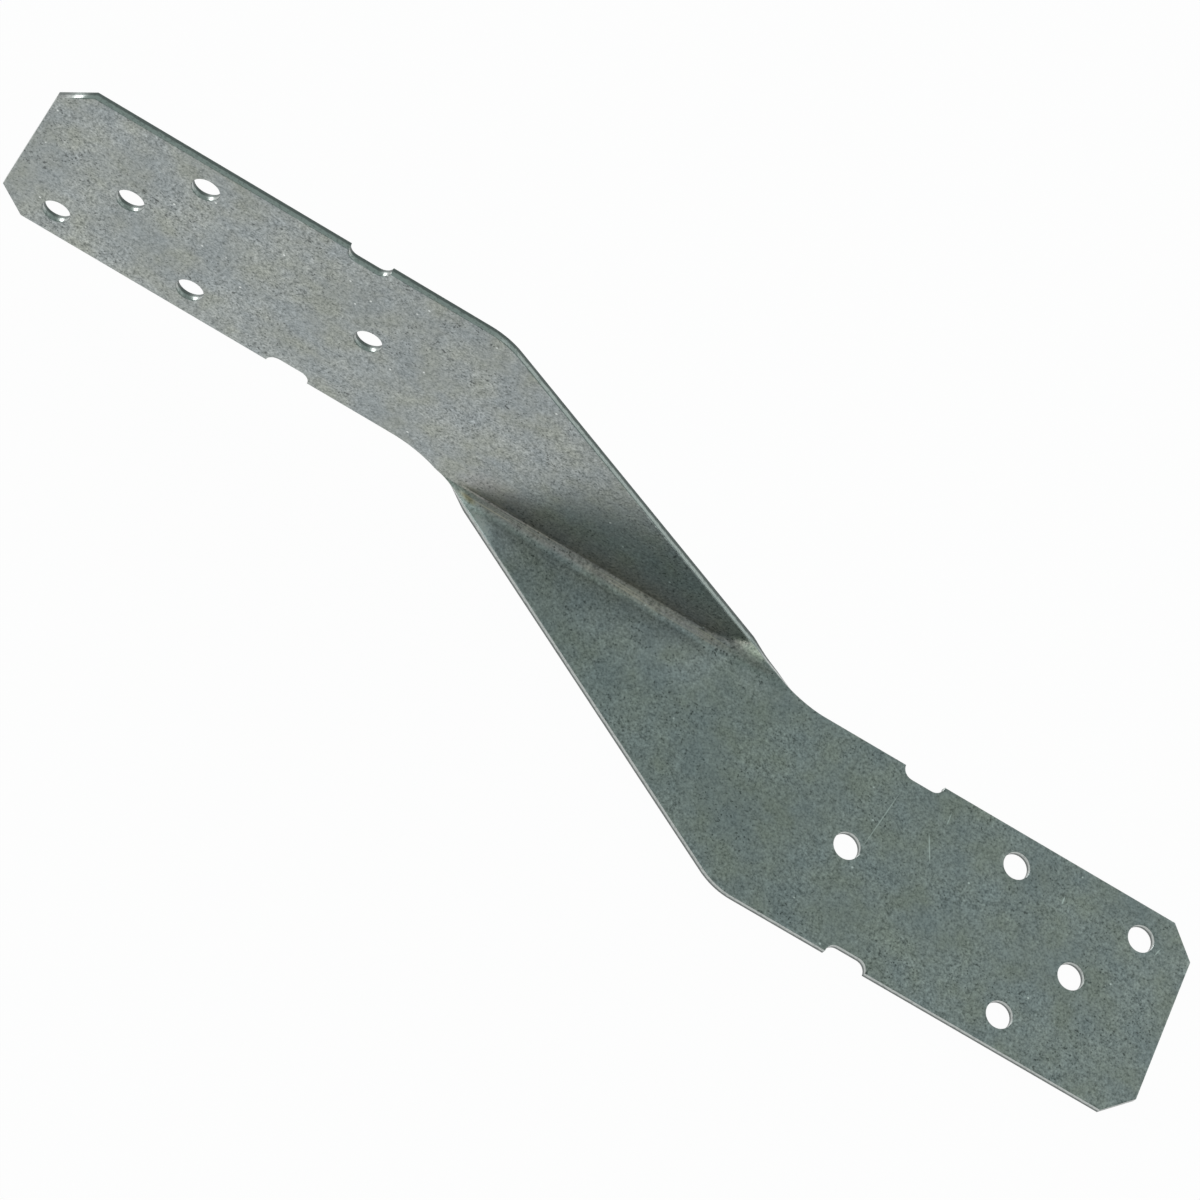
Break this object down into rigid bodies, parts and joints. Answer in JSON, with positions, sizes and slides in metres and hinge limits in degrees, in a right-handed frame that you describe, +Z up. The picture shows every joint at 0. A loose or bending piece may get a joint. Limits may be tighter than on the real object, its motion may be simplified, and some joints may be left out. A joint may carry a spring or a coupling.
{
  "type": "hurricane tie",
  "caption": "Galvanised sheet-steel hurricane tie: a nailing arm on each side of a corner fold, joined by a slanting middle, with nail holes and edge notches.",
  "frame": {"origin": "on the back of the flat arm, where the fold begins, below the axis of the fold, midway between the ends of the arms", "axes": "+X along the fold, towards the upright arm; +Y across the flat arm, away from the fold; +Z up from the flat arm, towards the hollow side"},
  "size_m": [0.2, 0.0384, 0.036],
  "materials": {
    "galvanised_steel": "hot-dip galvanised, fine mottled spangle, semi-matt"
  },
  "bodies": {
    "root": {"tie": "galvanised_steel"}
  },
  "joints": []
}
